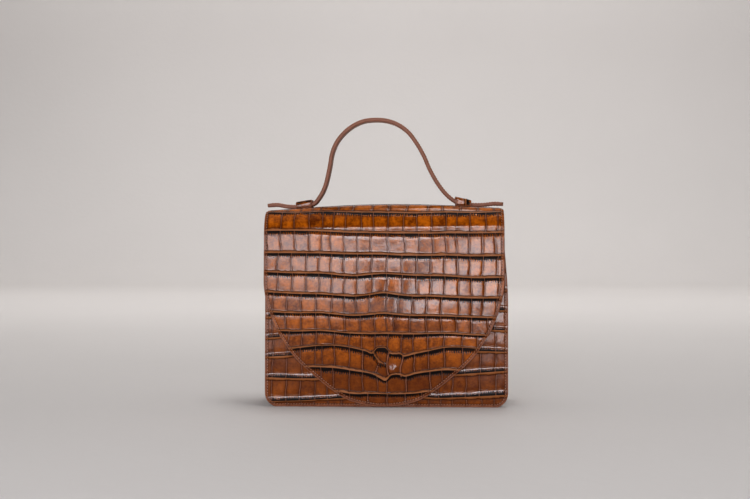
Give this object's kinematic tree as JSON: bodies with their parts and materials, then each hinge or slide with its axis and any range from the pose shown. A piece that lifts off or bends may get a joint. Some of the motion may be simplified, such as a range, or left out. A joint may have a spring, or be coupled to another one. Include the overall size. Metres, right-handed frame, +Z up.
{
  "type": "leather briefcase",
  "caption": "Small structured leather briefcase with a deep round front flap and a flat strap handle held by leather loops on its roof.",
  "frame": {"origin": "middle of the bounding box at the surface that the bag stands on", "axes": "+X to the right seen from the front, +Y to the back, +Z up; the flap faces -Y"},
  "size_m": [0.2467, 0.0893, 0.293],
  "materials": {
    "embossed_leather": "glossy, embossed with rows of large square scales",
    "strap_leather": "satin, with painted edges",
    "clasp_metal": "satin"
  },
  "bodies": {
    "root": {"flap_and_back": "embossed_leather", "front_panel": "embossed_leather", "gusset": "embossed_leather", "handle": "strap_leather", "left_loop": "embossed_leather", "right_loop": "embossed_leather", "clasp": "clasp_metal"}
  },
  "joints": []
}
